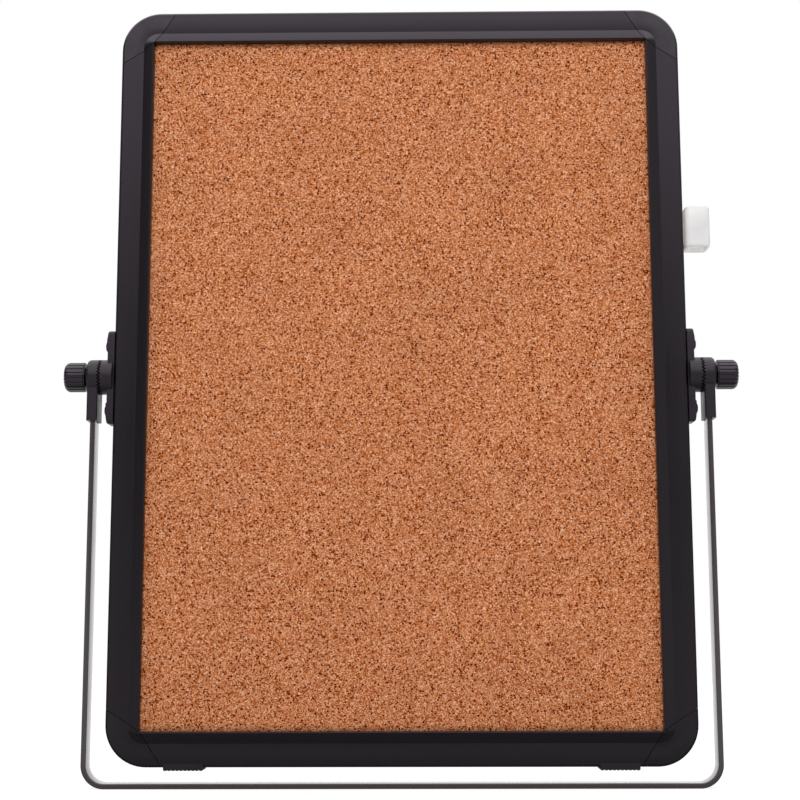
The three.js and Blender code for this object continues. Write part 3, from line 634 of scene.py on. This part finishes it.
def cork_group():
    tree, given = new_group("pressed cork sheet", [
        ("Width", "Float", 0.28), ("Height", "Float", 0.38), ("Thickness", "Float", 0.002),
        ("Pitch", "Float", 0.002), ("Hollows", "Float", 0.0001), ("Material", "Material", None)])
    columns, rows = (
        add(tree, MATH, {0: add(tree, MATH, {0: given[side], 1: given["Pitch"]}, operation="DIVIDE"), 1: 1.0})
        for side in ("Width", "Height"))
    size = add(tree, JOIN, {0: given["Width"], 1: given["Thickness"], 2: given["Height"]})
    divided = {"Size": size, "Vertices X": columns, "Vertices Y": 2, "Vertices Z": rows}
    block = add(tree, "GeometryNodeMeshCube", divided)
    place = add(tree, "GeometryNodeInputPosition")
    depth = add(tree, SPLIT, {0: place}).outputs["Y"]
    front = add(tree, "FunctionNodeCompare", {"A": depth, "B": 0.0}, operation="LESS_THAN")
    relief = add(tree, "ShaderNodeTexNoise", {"Vector": place, "Scale": 1 / (5 * MM), "Detail": 2.0})
    inwards = add(tree, MATH, {0: relief, 1: given["Hollows"]}, operation="MULTIPLY")
    offset = add(tree, JOIN, {1: inwards})
    moved = add(tree, "GeometryNodeSetPosition", {"Geometry": block, "Selection": front, "Offset": offset})
    end_group(tree, moved, given["Material"])
    return tree


low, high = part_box("cork_sheet")
size = high - low
cork_sheet = grown("cork_sheet", cork_group(), {
    "Width": size.x, "Height": size.z, "Thickness": size.y, "Pitch": 2 * MM, "Hollows": 0.16 * MM,
    "Material": cork})
cork_sheet.transform(Matrix.Translation((low + high) / 2))
settle(put("pressed_cork", cork_sheet), cork, "board", ["cork_sheet"])
print("cork sheet with", len(cork_sheet.polygons), "faces")

# %% [markdown]
# The plain flat layers behind the cork, and the small hidden parts, already have their true shape in the
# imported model. They keep it and only take their finish.

# %% Finishes for pieces that keep their solid
for node, material in {"core_board": fibreboard, "writing_sheet": enamel, "pen_loop_tape": foam_tape,
                       "pivot_nut_left": zinc, "pivot_nut_right": zinc}.items():
    kept = frame["nodes"][node].data.materials
    kept.clear()
    kept.append(material)
print("kept solids have their finishes")

# %% [markdown]
# Both pivots are alike, one turned round. So their parts are modelled once, in a frame of their own:
# x runs outwards from the side of the board and zero height is the pivot's axis. A matrix then carries each
# part to its side.

# %% Pivot frame
PIVOT_Z = next(j["pos_m"][2] for j in frame["joints"] if j["name"] == "board_swing")
SIDES = {
    "left": Matrix.Translation((BOARD_LOW.x * MM, 0, PIVOT_Z)) @ Matrix.Rotation(math.pi, 4, "Z"),
    "right": Matrix.Translation((BOARD_HIGH.x * MM, 0, PIVOT_Z)),
}
HUB_RADIUS, HUB_BORE, HUB_ROUND, SOCKET_ROUND = 9.2, 2.8, 0.5, 1.8
HUB_BASE, HUB_FACE, ARM_ROOTS, ARM_OUTER = 0.8, 6.5, 8.95, 14.5


def on_both_sides(kind, mesh, material, body, node, soft_edge=0.0, sharp=30):
    """Carries a pivot part to each side and settles it. The body's name may have {} for the side."""
    for side, matrix in SIDES.items():
        piece = put(f"{side}_{kind}", mesh.copy())
        piece.data.transform(matrix)
        settle(piece, material, body.format(side), [f"{node}_{side}"], soft_edge, sharp)


def bored(mesh, low, high):
    """A mesh with the stud's bore through it."""
    bore = turned("bore", [(low, 0), (low, HUB_BORE), (high, HUB_BORE), (high, 0)], 48)
    return combined(mesh, bore, "DIFFERENCE")


print("pivot axis at", round(PIVOT_Z / MM, 1), "mm")

# %% [markdown]
# Thirty-two teeth stand in a ring on the face of each hub. One tooth is a wedge that narrows towards the
# axis, and a node group makes copies of it, each turned a little further round the X axis. The same group
# later sets the ribs of the knobs and, with a pitch and no turn, those of the feet.

# %% A row of copies
TOOTH, TEETH, TOOTH_INNER, TOOTH_ROOT = 1.1, 32, 5.2, 0.3
# A tooth fills nearly all of its share of the circle, and its crest is a sixth of its root.
FILL_SHARE, CREST_SHARE, RIM_EASE = 0.98, 0.16, 0.02


def row_group():
    tree, given = new_group("row of copies", [
        ("Shape", "Object", None), ("Count", "Int", 24), ("Pitch", "Float", 0.0), ("Turn", "Float", 0.0),
        ("First turn", "Float", 0.0), ("Material", "Material", None)])
    shape = add(tree, "GeometryNodeObjectInfo", {"Object": given["Shape"]}).outputs["Geometry"]
    step = add(tree, JOIN, {0: given["Pitch"]})
    points = add(tree, "GeometryNodeMeshLine", {"Count": given["Count"], "Offset": step})
    index = add(tree, "GeometryNodeInputIndex")
    turn = add(tree, MATH, {0: index, 1: given["Turn"], 2: given["First turn"]}, operation="MULTIPLY_ADD")
    rotation = add(tree, JOIN, {0: turn})
    placed = {"Points": points, "Instance": shape, "Rotation": rotation}
    end_group(tree, add(tree, "GeometryNodeInstanceOnPoints", placed), given["Material"])
    return tree


row_of_copies = row_group()


def copies(name, mesh, count, material, pitch=0.0, turn=0.0, first_turn=0.0):
    """Copies of a mesh along and round the X axis, as one plain mesh."""
    shape = put("shape", mesh)
    row = grown(name, row_of_copies, {"Shape": shape, "Count": count, "Pitch": pitch, "Turn": turn,
                                      "First turn": first_turn, "Material": material})
    bpy.data.objects.remove(shape)
    return row


def tooth_mesh(face, tip):
    """One wedge on the +Z side of the hub, from just inside its rim to the middle of its face."""
    rings = []
    sunk = face - math.copysign(TOOTH_ROOT, tip - face)
    for radius in (TOOTH_INNER, HUB_RADIUS - RIM_EASE):
        half = math.pi * radius / TEETH * FILL_SHARE
        crest = half * CREST_SHARE
        wedge = [(sunk, -half), (face, -half), (tip, -crest), (tip, crest), (face, half), (sunk, half)]
        rings.append([(x, y, radius) for x, y in wedge])
    return skin("tooth", rings)


def toothed_hub(name, base, face, tip, rounding, phase):
    """A bored hub with teeth on its face. The edge of its base is rounded, and phase is in teeth."""
    out = math.copysign(rounding, face - base)
    bend = arc(base + out, HUB_RADIUS - rounding, rounding, 2 if out > 0 else 0, 1)
    profile = [(base, HUB_BORE)] + bend + [(face, HUB_RADIUS), (face, HUB_BORE)]
    turn = math.tau / TEETH
    teeth = copies("teeth", tooth_mesh(face, tip), TEETH, hub_plastic, turn=turn, first_turn=turn * phase)
    return combined(turned(name, profile), teeth, "UNION")


print("one tooth has", len(tooth_mesh(HUB_FACE, HUB_FACE + TOOTH).polygons), "faces")

# %% [markdown]
# The bracket is one moulding: a plate with rounded ends, a low pad round each screw, and a toothed hub that
# is wider than the plate. The side view is drawn as an outline, the face view as a rounded rectangle, and
# where the two overlap is the plate. Its middle lies three quarters of a millimetre below the pivot.

# %% Pivot brackets
SEAT, PLATE, PLATE_END, PLATE_BEND, PLATE_HALF, PLATE_CORNER = 0.2, 3.7, 3.6, 1.3, 5.8, 2
PAD, PAD_NEAR, PAD_FAR, PAD_STEP = 4.2, 13.9, 19.6, 0.4


def make_bracket():
    low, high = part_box("pivot_bracket_right")
    half_length = (high.z - low.z) / 2 / MM
    upper = [(SEAT, half_length)] + arc(PLATE_END - PLATE_BEND, half_length - PLATE_BEND, PLATE_BEND, 1, 0, 6)
    upper += [(PAD, PAD_FAR), (PAD, PAD_NEAR), (PLATE, PAD_NEAR - PAD_STEP)]
    outline = upper + [(x, -z) for x, z in reversed(upper)]
    plate = prism("bracket", outline, "y", -PLATE_HALF, PLATE_HALF)
    plan = prism("plan", rounded_box(PLATE_HALF, half_length, PLATE_CORNER), "x", -1, 2 * PAD)
    plate = combined(plate, plan, "INTERSECT")
    plate.transform(Matrix.Translation((0, 0, (high.z + low.z) / 2 - PIVOT_Z)))
    hub = toothed_hub("hub", HUB_BASE, HUB_FACE, HUB_FACE + TOOTH, HUB_ROUND, 0)
    return bored(combined(plate, hub, "UNION"), -1, HUB_FACE + TOOTH + 1)


bracket = make_bracket()
on_both_sides("bracket", bracket, hub_plastic, "board", "pivot_bracket", 0.15)
print("bracket has", len(bracket.polygons), "faces before its soft edges")

# %% [markdown]
# The arm's socket is a second hub that faces the first, with a sleeve below it. The end of the stand goes up
# into the sleeve, so the sleeve is hollow, and its mouth shows from below.

# %% Arm sockets
SLEEVE_X, SLEEVE_HALF_X, SLEEVE_HALF_Y, SLEEVE_ROUND, SLEEVE_ROOT = 11.2, 2.8, 6.9, 1.0, 2.3
POCKET_X, POCKET_Y, POCKET_TOP, SLIP = 3.0, 10.3, 8, 0.15


def make_socket():
    drop = (PIVOT_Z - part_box("arm_socket_right")[0].z) / MM
    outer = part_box("stand_strip")[1].x / MM - BOARD_HIGH.x + SLIP
    hub = toothed_hub("socket", ARM_OUTER, ARM_ROOTS, ARM_ROOTS - TOOTH, SOCKET_ROUND, 0.5)
    outline = shifted(rounded_box(SLEEVE_HALF_X, SLEEVE_HALF_Y, SLEEVE_ROUND), SLEEVE_X)
    sleeve = prism("sleeve", outline, "z", -drop, -SLEEVE_ROOT)
    free, rim = HUB_FACE + 0.5, HUB_RADIUS + SLIP
    clearance = turned("clearance", [(free, 0), (free, rim), (ARM_ROOTS, rim), (ARM_ROOTS, 0)])
    socket = combined(hub, combined(sleeve, clearance, "DIFFERENCE"), "UNION")
    pocket = shifted(rectangle(POCKET_X / 2, POCKET_Y / 2), outer - POCKET_X / 2)
    socket = combined(socket, prism("pocket", pocket, "z", -drop - 1, -POCKET_TOP), "DIFFERENCE")
    return bored(socket, free, ARM_OUTER + 1.5)


socket = make_socket()
on_both_sides("socket", socket, hub_plastic, "stand", "arm_socket", 0.2)
print("socket has", len(socket.polygons), "faces before its soft edges")

# %% [markdown]
# A knob is a turned core with 20 broad ribs. One rib is a low rounded bar that follows the knob's outline
# along its side and over the rounded end, and the row of copies sets it round the knob.

# %% Knobs
KNOB_START, KNOB_LENGTH, KNOB_RADIUS, KNOB_END = 15.7, 11.05, 7.8, 3.0
COLLAR, COLLAR_STEP, KNOB_BORE, KNOB_BLIND = 7.0, 0.5, 2.6, 8
RIB_HEIGHT, RIB_WIDTH, RIBS = 0.5, 1.95, 20
# Ribs grow shallow over the knob's end, and the power makes their crests broad.
END_SHARE, BROAD = 0.4, 0.35
knob_end = KNOB_START + KNOB_LENGTH
knob_curve = [(KNOB_START + COLLAR_STEP, KNOB_RADIUS)]
knob_curve += arc(knob_end - KNOB_END, KNOB_RADIUS - KNOB_END, KNOB_END, 1, 0)


def rib_mesh():
    """A rounded bar on the +Z side, its crest on the knob's outline and its foot sunk in the core."""
    curve = knob_curve[:-1]
    rings = []
    for k, (x, radius) in enumerate(curve):
        before, after = curve[max(k - 1, 0)], curve[min(k + 1, len(curve) - 1)]
        run = Vector((after[0] - before[0], after[1] - before[1])).normalized()
        half = RIB_WIDTH / 2 * radius / KNOB_RADIUS
        across = []
        for step in range(9):
            angle = math.pi * step / 8
            across.append((half * math.cos(angle), RIB_HEIGHT * (math.sin(angle) ** BROAD - 1)))
        across += [(-half, -2 * RIB_HEIGHT), (half, -2 * RIB_HEIGHT)]
        rings.append([(x - run.y * lift, y, radius + run.x * lift) for y, lift in across])
    return skin("rib", rings)


def make_knob():
    blind = KNOB_START + KNOB_BLIND
    profile = [(blind, 0), (blind, KNOB_BORE), (KNOB_START, KNOB_BORE), (KNOB_START, COLLAR),
               (KNOB_START + 0.9 * COLLAR_STEP, COLLAR)]
    for x, radius in knob_curve:
        out = max(0.0, (x - (knob_end - KNOB_END)) / KNOB_END)
        profile.append((x - RIB_HEIGHT * out * END_SHARE, radius - RIB_HEIGHT * (1 - (1 - END_SHARE) * out)))
    profile.append((knob_end - RIB_HEIGHT * END_SHARE, 0))
    ribs = copies("ribs", rib_mesh(), RIBS, knob_plastic, turn=math.tau / RIBS)
    return combined(turned("knob", profile), ribs, "UNION")


knob = make_knob()
on_both_sides("knob", knob, knob_plastic, "knob_{}", "knob", 0.12, 40)
print("knob with", RIBS, "ribs has", len(knob.polygons), "faces")

# %% [markdown]
# The stud is an M5 screw. A thread is one rule: the radius rises and falls with the distance along the axis,
# and that wave slides along by one pitch for each turn. So the points of a plain grid get their radius from
# the wave. The washer is a turned ring with eased corners.

# %% Studs and washers
PITCH, THREAD_DEPTH, STUD_RADIUS, STUD_SEGMENTS = 0.8, 0.42, 2.5, 32
STUD_INSIDE, STUD_IN_KNOB = 3.5, 7.9
FLANK, CREST, LEAD_IN, LEAD_OUT = 2.4, 0.5, 0.5, 0.1
WASHER_GAP, WASHER_RADIUS, WASHER = 0.1, 5, 1


def thread_radius(x, angle, start, end):
    """The stud's radius at x and angle: a trapezium wave, fading at both ends."""
    wave = (x / PITCH - angle / math.tau) % 1.0
    groove = max(0.0, min(1.0, FLANK * (1 - abs(2 * wave - 1)) - CREST))
    ends = max(0.0, LEAD_IN - (x - start)) + max(0.0, LEAD_OUT - (end - x))
    return STUD_RADIUS - THREAD_DEPTH * groove - ends


def make_stud():
    start, end = -STUD_INSIDE, KNOB_START + STUD_IN_KNOB
    steps = int((end - start) / PITCH * 8)
    angles = [math.tau * k / STUD_SEGMENTS for k in range(STUD_SEGMENTS)]
    rings = []
    for j in range(steps + 1):
        x = start + (end - start) * j / steps
        radii = [thread_radius(x, angle, start, end) for angle in angles]
        rings.append([(x, r * math.cos(angle), r * math.sin(angle)) for r, angle in zip(radii, angles)])
    return skin("stud", rings)


stud = make_stud()
on_both_sides("stud", stud, zinc, "knob_{}", "knob_stud")
near = ARM_OUTER + WASHER_GAP
far = near + WASHER
section = [(near, KNOB_BORE), (near, WASHER_RADIUS), (far, WASHER_RADIUS), (far, KNOB_BORE)]
washer = turned("washer", section, 64)
on_both_sides("washer", washer, black_oxide, "washer_{}", "washer", 0.15)
print("stud has", len(stud.polygons), "faces")

# %% [markdown]
# Four pan-head screws hold the brackets. One screw is turned and its cross is cut with two small blocks. A
# node group sets copies on points: the points here are the four places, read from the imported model.

# %% Bracket screws
SHANK, POINT, TIP, HEAD, HEAD_HEIGHT, HEAD_RIM = 1.35, 3.0, 4.4, 2.75, 1.3, 0.35
SLOT_REACH, SLOT_HALF, SLOT_DEPTH = 1.6, 0.38, 0.75


def places_group():
    tree, given = new_group("copies at places", [
        ("Places", "Object", None), ("Shape", "Object", None), ("Material", "Material", None)])
    places = add(tree, "GeometryNodeObjectInfo", {"Object": given["Places"]}).outputs["Geometry"]
    shape = add(tree, "GeometryNodeObjectInfo", {"Object": given["Shape"]}).outputs["Geometry"]
    turn = add(tree, "GeometryNodeInputNamedAttribute", {"Name": "turn"}, data_type="FLOAT_VECTOR")
    placed = {"Points": places, "Instance": shape, "Rotation": turn}
    end_group(tree, add(tree, "GeometryNodeInstanceOnPoints", placed), given["Material"])
    return tree


def screw_mesh():
    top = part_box("bracket_screw_right_upper")[1].x / MM - BOARD_HIGH.x
    seat = top - HEAD_HEIGHT
    rim = seat + HEAD_RIM
    profile = [(-TIP, 0), (-POINT, SHANK), (seat, SHANK), (seat, HEAD), (rim, HEAD)]
    for k in range(1, 6):
        angle = math.pi / 2 * k / 6
        profile.append((rim + (top - rim) * math.sin(angle), HEAD * math.cos(angle) ** 0.6))
    screw = turned("screw", profile + [(top, 0)], 48)
    for halves in ((SLOT_REACH, SLOT_HALF), (SLOT_HALF, SLOT_REACH)):
        cut = prism("slot", rectangle(*halves), "x", top - SLOT_DEPTH, top + 1)
        screw = combined(screw, cut, "DIFFERENCE")
    return screw


def make_screws():
    points, turns, nodes = [], [], []
    for side, matrix in SIDES.items():
        for place in ("upper", "lower"):
            nodes.append(f"bracket_screw_{side}_{place}")
            low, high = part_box(nodes[-1])
            points.append((matrix.translation.x, 0, (low.z + high.z) / 2))
            turns += [0.7 * (len(nodes) - 1), 0, math.pi if side == "left" else 0]
    mesh = bpy.data.meshes.new("places")
    mesh.from_pydata(points, [], [])
    mesh.attributes.new("turn", "FLOAT_VECTOR", "POINT").data.foreach_set("vector", turns)
    places, shape = put("places", mesh), put("shape", screw_mesh())
    values = {"Places": places, "Shape": shape, "Material": black_oxide}
    screws = grown("bracket_screws", places_group(), values)
    bpy.data.objects.remove(places)
    bpy.data.objects.remove(shape)
    settle(put("bracket_screws", screws), black_oxide, "board", nodes, 0.06)
    print("four screws with", len(screws.polygons), "faces")


make_screws()

# %% [markdown]
# The stand is one flat strip bent twice. Its path is a line of four points, and nodes do the bending: a
# fillet rounds the two corners, and a small rounded rectangle is drawn along the path.

# %% Stand strip
STRIP, STRIP_BEND, STRIP_EDGE = 2.7 * MM, 12 * MM, 0.4 * MM


def strip_group():
    tree, given = new_group("bent strip", [
        ("Geometry", "Geometry", None), ("Bend radius", "Float", 0.01), ("Thickness", "Float", 0.003),
        ("Depth", "Float", 0.01), ("Edge radius", "Float", 0.0004), ("Material", "Material", None)])
    bend = {"Curve": given["Geometry"], "Radius": given["Bend radius"], "Count": 24}
    bent = add(tree, "GeometryNodeFilletCurve", bend, mode="POLY")
    flat = {"Width": given["Thickness"], "Height": given["Depth"]}
    outline = add(tree, "GeometryNodeCurvePrimitiveQuadrilateral", flat)
    easing = {"Curve": outline, "Radius": given["Edge radius"], "Count": 4}
    eased = add(tree, "GeometryNodeFilletCurve", easing, mode="POLY")
    strip = add(tree, "GeometryNodeCurveToMesh", {"Curve": bent, "Profile Curve": eased, "Fill Caps": True})
    end_group(tree, strip, given["Material"])
    return tree


def make_strip():
    low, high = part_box("stand_strip")
    reach, bottom = high.x - STRIP / 2, low.z + STRIP / 2
    curve = bpy.data.curves.new("strip path", "CURVE")
    curve.dimensions = "3D"
    line = curve.splines.new("POLY")
    line.points.add(3)
    corners = [(-reach, high.z), (-reach, bottom), (reach, bottom), (reach, high.z)]
    for point, (x, z) in zip(line.points, corners):
        point.co = (x, 0, z, 1)
    values = {"Bend radius": STRIP_BEND - STRIP / 2, "Thickness": STRIP, "Depth": high.y - low.y,
              "Edge radius": STRIP_EDGE, "Material": strip_paint}
    mesh = grown("stand_strip", strip_group(), values, put("strip path", curve))
    piece = settle(put("bent_stand", mesh), strip_paint, "stand", ["stand_strip"], 0, 40)
    found = [round(v / MM, 1) for v in piece.dimensions]
    print("strip measures", found, "mm with", len(mesh.polygons), "faces")


make_strip()

# %% [markdown]
# Each rubber foot laps the rounded edges of the bottom rail and has a ribbed underside that grips. The body
# is a prism of its section, and the row of copies repeats one rib along it.

# %% Rubber feet
FOOT_GAP, FOOT_RIB, FOOT_PITCH, RIB_FOOT, RIB_CREST = 0.1, 0.35, 2.0, 0.75, 0.6


def foot_mesh(low, high):
    """The foot between its lowest and highest corners, in millimetres."""
    outer, reach, root = high.y, EDGE_ROUND + FOOT_GAP, low.z + FOOT_RIB
    bend = arc(DEPTH / 2 + FOOT_GAP - reach, BOARD_LOW.z + EDGE_ROUND, reach, 0, -1)
    outline = [(-outer, high.z), (-outer, root), (outer, root), (outer, high.z)]
    outline += bend + [(-y, z) for y, z in reversed(bend)]
    body = prism("foot", outline, "x", low.x, high.x)
    wedge = [(-RIB_FOOT, root + 0.2), (-RIB_CREST, low.z), (RIB_CREST, low.z), (RIB_FOOT, root + 0.2)]
    rib = prism("rib", shifted(wedge, low.x + FOOT_PITCH / 2), "y", -outer + 0.05, outer - 0.05)
    count = round((high.x - low.x) / FOOT_PITCH)
    return combined(body, copies("ribs", rib, count, rubber, pitch=FOOT_PITCH * MM), "UNION")


for side in ("left", "right"):
    low, high = (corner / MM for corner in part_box(f"foot_{side}"))
    settle(put(f"{side}_foot", foot_mesh(low, high)), rubber, "board", [f"foot_{side}"], 0.12)
print("two feet of", round(high.x - low.x, 1), "mm")

# %% [markdown]
# The pen loop is a short tube of milky white plastic with a rounded rectangular plan. Its outside is a skin
# over rings that draw in towards both ends, and a straight bore goes through it.

# %% Pen loop
LOOP_CORNER, LOOP_WALL, LOOP_ROUND = 3.2, 1.6, 1.4


def loop_outline(middle, half, inset):
    """The loop's plan, drawn in by an inset."""
    outline = rounded_box(half.x - inset, half.y - inset, LOOP_CORNER - inset, 10)
    return shifted(outline, middle.x, middle.y)


def make_pen_loop():
    low, high = (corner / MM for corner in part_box("pen_loop"))
    middle, half = (low + high) / 2, (high - low) / 2
    levels = arc(LOOP_ROUND, half.z - LOOP_ROUND, LOOP_ROUND, 1, 2)
    levels += [(inset, -z) for inset, z in reversed(levels)]
    rings = [[(x, y, middle.z + z) for x, y in loop_outline(middle, half, inset)] for inset, z in levels]
    hole = prism("hole", loop_outline(middle, half, LOOP_WALL), "z", low.z - 1, high.z + 1)
    loop = combined(skin("pen_loop", rings), hole, "DIFFERENCE")
    settle(put("marker_loop", loop), polypropylene, "board", ["pen_loop"], 0.1)
    print("pen loop", [round(2 * size, 1) for size in half], "mm, with a wall of", LOOP_WALL, "mm")


make_pen_loop()
